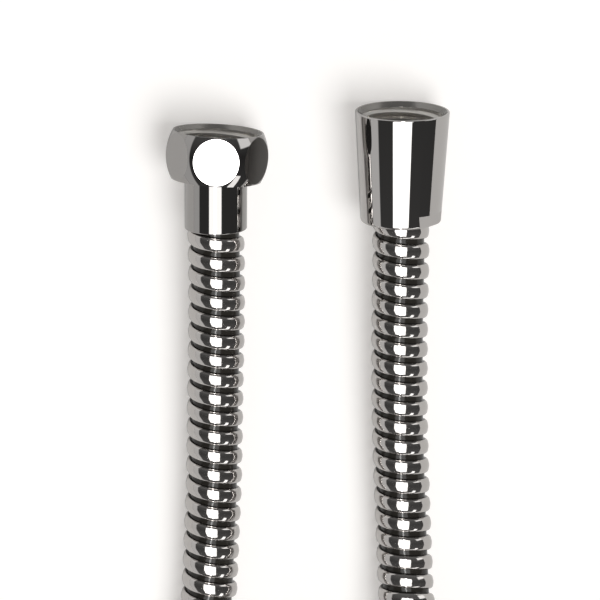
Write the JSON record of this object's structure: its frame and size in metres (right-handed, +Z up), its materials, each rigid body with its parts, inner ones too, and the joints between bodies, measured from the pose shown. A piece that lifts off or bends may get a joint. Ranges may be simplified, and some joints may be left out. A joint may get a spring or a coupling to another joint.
{
  "type": "shower hose",
  "caption": "Chromed metal shower hose with a ridged spiral jacket over a rubber liner, a hexagonal swivel nut on one end and a conical swivel nut on the other, its spare length coiled.",
  "frame": {"origin": "on the table, under the middle of the box round the two end fittings", "axes": "+X from the hexagonal nut to the conical nut, +Y out of the nuts' mouths, +Z up from the table"},
  "size_m": [0.168, 0.3262, 0.0296],
  "materials": {
    "nut_chrome": "polished chrome plate",
    "ferrule_chrome": "polished chrome plate",
    "jacket_chrome": "polished chrome plate",
    "insert_brass": "machined",
    "washer_rubber": "matt",
    "liner_rubber": "matt",
    "tie_plastic": "satin"
  },
  "bodies": {
    "hose": {"hex_end_ferrule": "ferrule_chrome", "hex_end_nipple": "insert_brass", "hex_end_washer": "washer_rubber", "cone_end_ferrule": "ferrule_chrome", "cone_end_nipple": "insert_brass", "cone_end_washer": "washer_rubber", "hose_jacket_hex_side": "jacket_chrome", "hose_jacket_cone_side": "jacket_chrome", "hose_liner_hex_side": "liner_rubber", "hose_liner_cone_side": "liner_rubber", "hose_coil": "jacket_chrome", "coil_tie_1": "tie_plastic", "coil_tie_2": "tie_plastic"},
    "hex_nut": {"hex_nut": "nut_chrome"},
    "conical_nut": {"conical_nut": "nut_chrome"}
  },
  "joints": [
    {"name": "hex_nut_swivel", "type": "hinge", "parent": "hose", "child": "hex_nut", "pos_m": [-0.0233, 0.01004, 0.012], "axis": [0.0558, 0.9984, 0], "continuous": true},
    {"name": "conical_nut_swivel", "type": "hinge", "parent": "hose", "child": "conical_nut", "pos_m": [0.02463, 0.01544, 0.01234], "axis": [0.0096, 0.998, 0.0632], "continuous": true}
  ]
}
